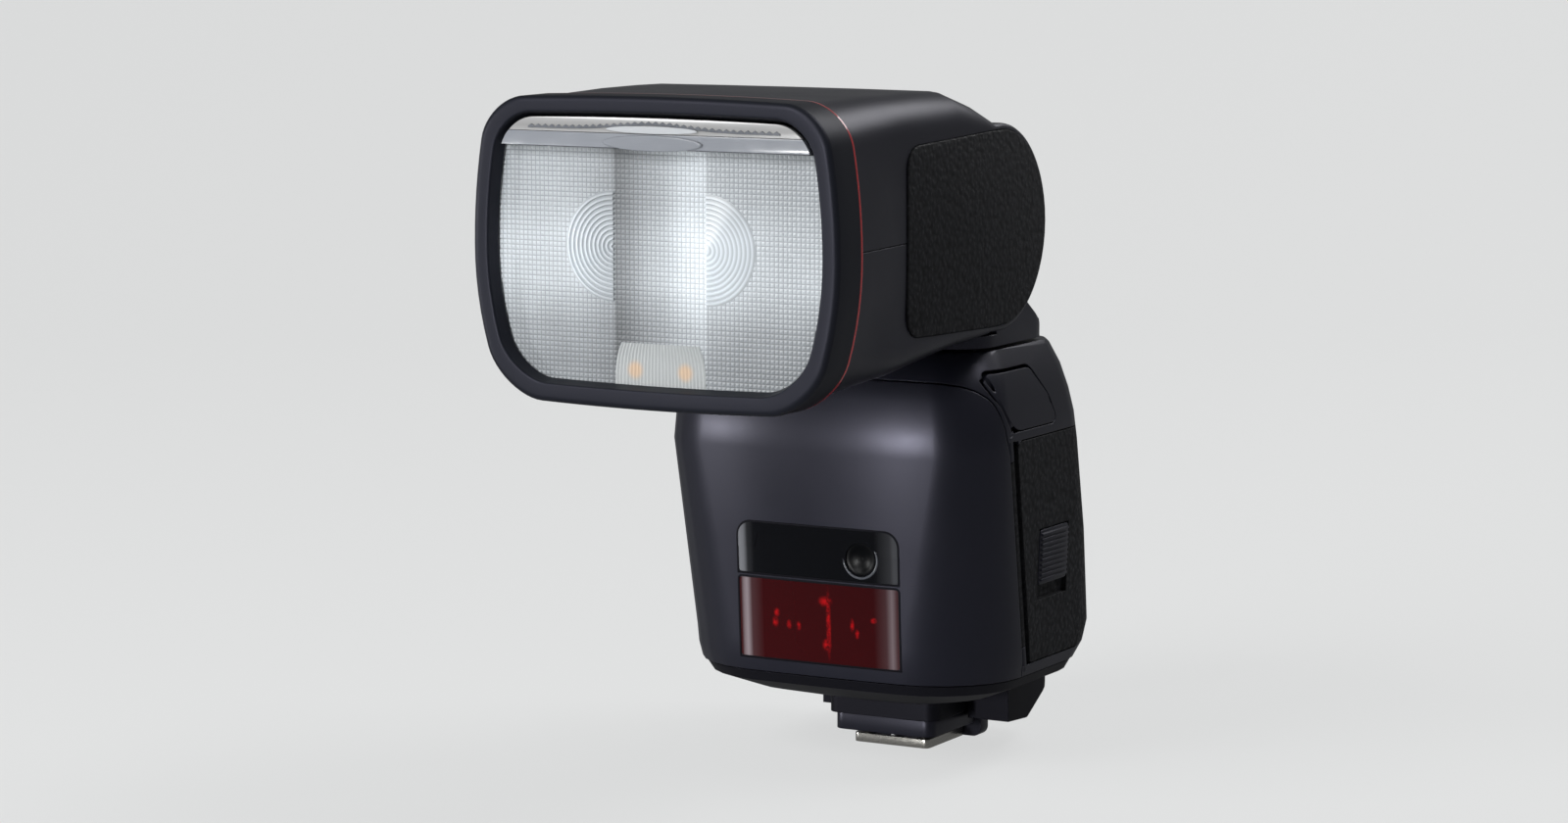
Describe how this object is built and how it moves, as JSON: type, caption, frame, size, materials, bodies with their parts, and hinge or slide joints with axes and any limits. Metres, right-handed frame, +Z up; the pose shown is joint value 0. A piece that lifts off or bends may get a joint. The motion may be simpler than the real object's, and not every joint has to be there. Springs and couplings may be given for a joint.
{
  "type": "speedlight flash",
  "caption": "Hot-shoe speedlight flash: zoom head with prismatic lens and pull-out panels on a tilting, swivelling neck over a control body with battery door, focus-aid window and shoe foot.",
  "frame": {"origin": "centre of the underside of the metal shoe-foot plate", "axes": "+Z up out of the camera shoe, -Y towards the subject (the way the lens looks with the head straight), +X to the right seen from the subject's side of the picture view, the battery-door side"},
  "size_m": [0.0844, 0.137, 0.1493],
  "materials": {
    "housing": "fine satin black moulding",
    "grip": "pebbled matt black",
    "accent": "red gloss",
    "clear_optic": "clear with moulded prisms",
    "white_panel": "white gloss",
    "led_frame": "milky white",
    "led_lamp": "warm amber domes",
    "smoked": "polished near black",
    "sensor_glass": "dark polished",
    "red_filter": "deep red, polished",
    "lamp_red": "red domes on a board",
    "display": "grey-green display glass",
    "board": "green solder mask",
    "inner": "dark moulding",
    "pack": "dark grey case",
    "can": "dark blue sleeve over a drawn can",
    "steel": "ground steel",
    "foot_metal": "nickel, satin",
    "contact": "gold flash",
    "bush": "sintered bronze",
    "mirror_sheet": "bright anodised sheet",
    "quartz": "clear quartz",
    "keys": "satin dark grey",
    "pilot": "milky amber"
  },
  "bodies": {
    "body": {"front_cover": "housing", "rear_cover": "housing", "base_skirt": "housing", "foot_block": "housing", "foot_plate": "foot_metal", "sensor_window": "smoked", "sensor_lens": "sensor_glass", "af_window": "red_filter", "af_emitter": "lamp_red", "lcd_window": "smoked", "lcd_module": "display", "control_board": "board", "inner_frame": "inner", "battery_bay": "inner", "battery_pack": "pack", "main_capacitor": "can", "power_board": "board", "door_hinge_pin": "steel", "terminal_hinge_pin": "steel", "terminal_bay": "inner", "sync_socket": "foot_metal", "power_socket": "inner", "swivel_washer": "steel"},
    "neck": {"swivel_spindle": "steel", "neck_cradle": "housing", "hinge_drum": "housing", "tilt_bushes": "bush"},
    "head": {"head_upper_shell": "housing", "head_lower_shell": "housing", "tilt_shaft": "steel", "bezel_frame": "housing", "accent_ring": "accent", "front_lens": "clear_optic", "grip_pad_right": "grip", "grip_pad_left": "grip", "panel_tray": "inner", "led_window": "led_frame", "led_board": "led_lamp", "guide_rods": "steel", "zoom_motor": "steel"},
    "zoom": {"zoom_carriage": "inner", "reflector": "mirror_sheet", "flash_tube": "quartz"},
    "leadscrew": {"zoom_leadscrew": "steel"},
    "wide_panel": {"wide_panel": "clear_optic"},
    "catchlight_panel": {"catchlight_panel": "white_panel"},
    "release_button": {"tilt_release_button": "housing"},
    "contacts": {"contact_pins": "contact"},
    "lock_lever": {"lock_lever": "housing"},
    "lock_pin": {"lock_pin": "steel"},
    "battery_door": {"battery_door": "housing"},
    "door_latch": {"door_latch": "housing"},
    "terminal_cover": {"terminal_cover": "housing"},
    "select_dial": {"select_dial": "keys"},
    "set_button": {"set_button": "keys"},
    "left_key": {"left_key": "keys"},
    "right_key": {"right_key": "keys"},
    "test_button": {"test_button": "pilot"},
    "power_switch": {"power_switch": "keys"}
  },
  "joints": [
    {"name": "head_swivel", "type": "hinge", "parent": "body", "child": "neck", "pos_m": [0, -0.017, 0.092], "axis": [0, 0, 1], "range_deg": [-180, 150]},
    {"name": "head_tilt", "type": "hinge", "parent": "neck", "child": "head", "pos_m": [0, -0.0355, 0.119], "axis": [-1, 0, 0], "range_deg": [-7, 120]},
    {"name": "zoom_slide", "type": "slide", "parent": "head", "child": "zoom", "axis": [0, -1, 0], "range_m": [0, 0.015]},
    {"name": "leadscrew_turn", "type": "hinge", "parent": "head", "child": "leadscrew", "pos_m": [0, -0.0685, 0.1021], "axis": [0, 1, 0], "range_deg": [-5, 1085]},
    {"name": "wide_panel_slide", "type": "slide", "parent": "head", "child": "wide_panel", "axis": [0, -1, 0], "range_m": [0, 0.038]},
    {"name": "catchlight_slide", "type": "slide", "parent": "head", "child": "catchlight_panel", "axis": [0, -1, 0], "range_m": [0, 0.038]},
    {"name": "tilt_release_press", "type": "slide", "parent": "head", "child": "release_button", "axis": [1, 0, 0], "range_m": [0, 0.0016], "stiffness_N_per_m": 400},
    {"name": "contact_press", "type": "slide", "parent": "body", "child": "contacts", "axis": [0, 0, 1], "range_m": [0, 0.0003], "stiffness_N_per_m": 600},
    {"name": "foot_lock_turn", "type": "hinge", "parent": "body", "child": "lock_lever", "pos_m": [0, 0.0161, 0.009], "axis": [0, 0, 1], "range_deg": [0, 34]},
    {"name": "lock_pin_slide", "type": "slide", "parent": "body", "child": "lock_pin", "axis": [0, 0, -1], "range_m": [0, 0.00121]},
    {"name": "battery_door_hinge", "type": "hinge", "parent": "body", "child": "battery_door", "pos_m": [0.03807, -0.02505, 0.0482], "axis": [-0.0372, 0.2146, -0.976], "range_deg": [0, 100]},
    {"name": "latch_slide", "type": "slide", "parent": "battery_door", "child": "door_latch", "axis": [-0.0404, 0, -0.9992], "range_m": [0, 0.003]},
    {"name": "terminal_cover_hinge", "type": "hinge", "parent": "body", "child": "terminal_cover", "pos_m": [0.03746, -0.03172, 0.08135], "axis": [0.239, 0.376, -0.8953], "range_deg": [0, 82]},
    {"name": "select_dial_turn", "type": "hinge", "parent": "body", "child": "select_dial", "pos_m": [0, 0.02092, 0.03549], "axis": [0, 0.9455, 0.3256], "continuous": true},
    {"name": "set_press", "type": "slide", "parent": "body", "child": "set_button", "axis": [0, -0.9455, -0.3256], "range_m": [0, 0.0007], "stiffness_N_per_m": 500},
    {"name": "left_key_press", "type": "slide", "parent": "body", "child": "left_key", "axis": [0, -0.9455, -0.3256], "range_m": [0, 0.0006], "stiffness_N_per_m": 500},
    {"name": "right_key_press", "type": "slide", "parent": "body", "child": "right_key", "axis": [0, -0.9455, -0.3256], "range_m": [0, 0.0006], "stiffness_N_per_m": 500},
    {"name": "test_press", "type": "slide", "parent": "body", "child": "test_button", "axis": [0, -0.9455, -0.3256], "range_m": [0, 0.0006], "stiffness_N_per_m": 500},
    {"name": "power_switch_slide", "type": "slide", "parent": "body", "child": "power_switch", "axis": [1, 0, 0], "range_m": [0, 0.004]}
  ],
  "couplings": [
    {"joint": "leadscrew_turn", "follows": "zoom_slide", "rad_per_m": 1256.6},
    {"joint": "lock_pin_slide", "follows": "foot_lock_turn", "m_per_rad": 0.002022}
  ]
}
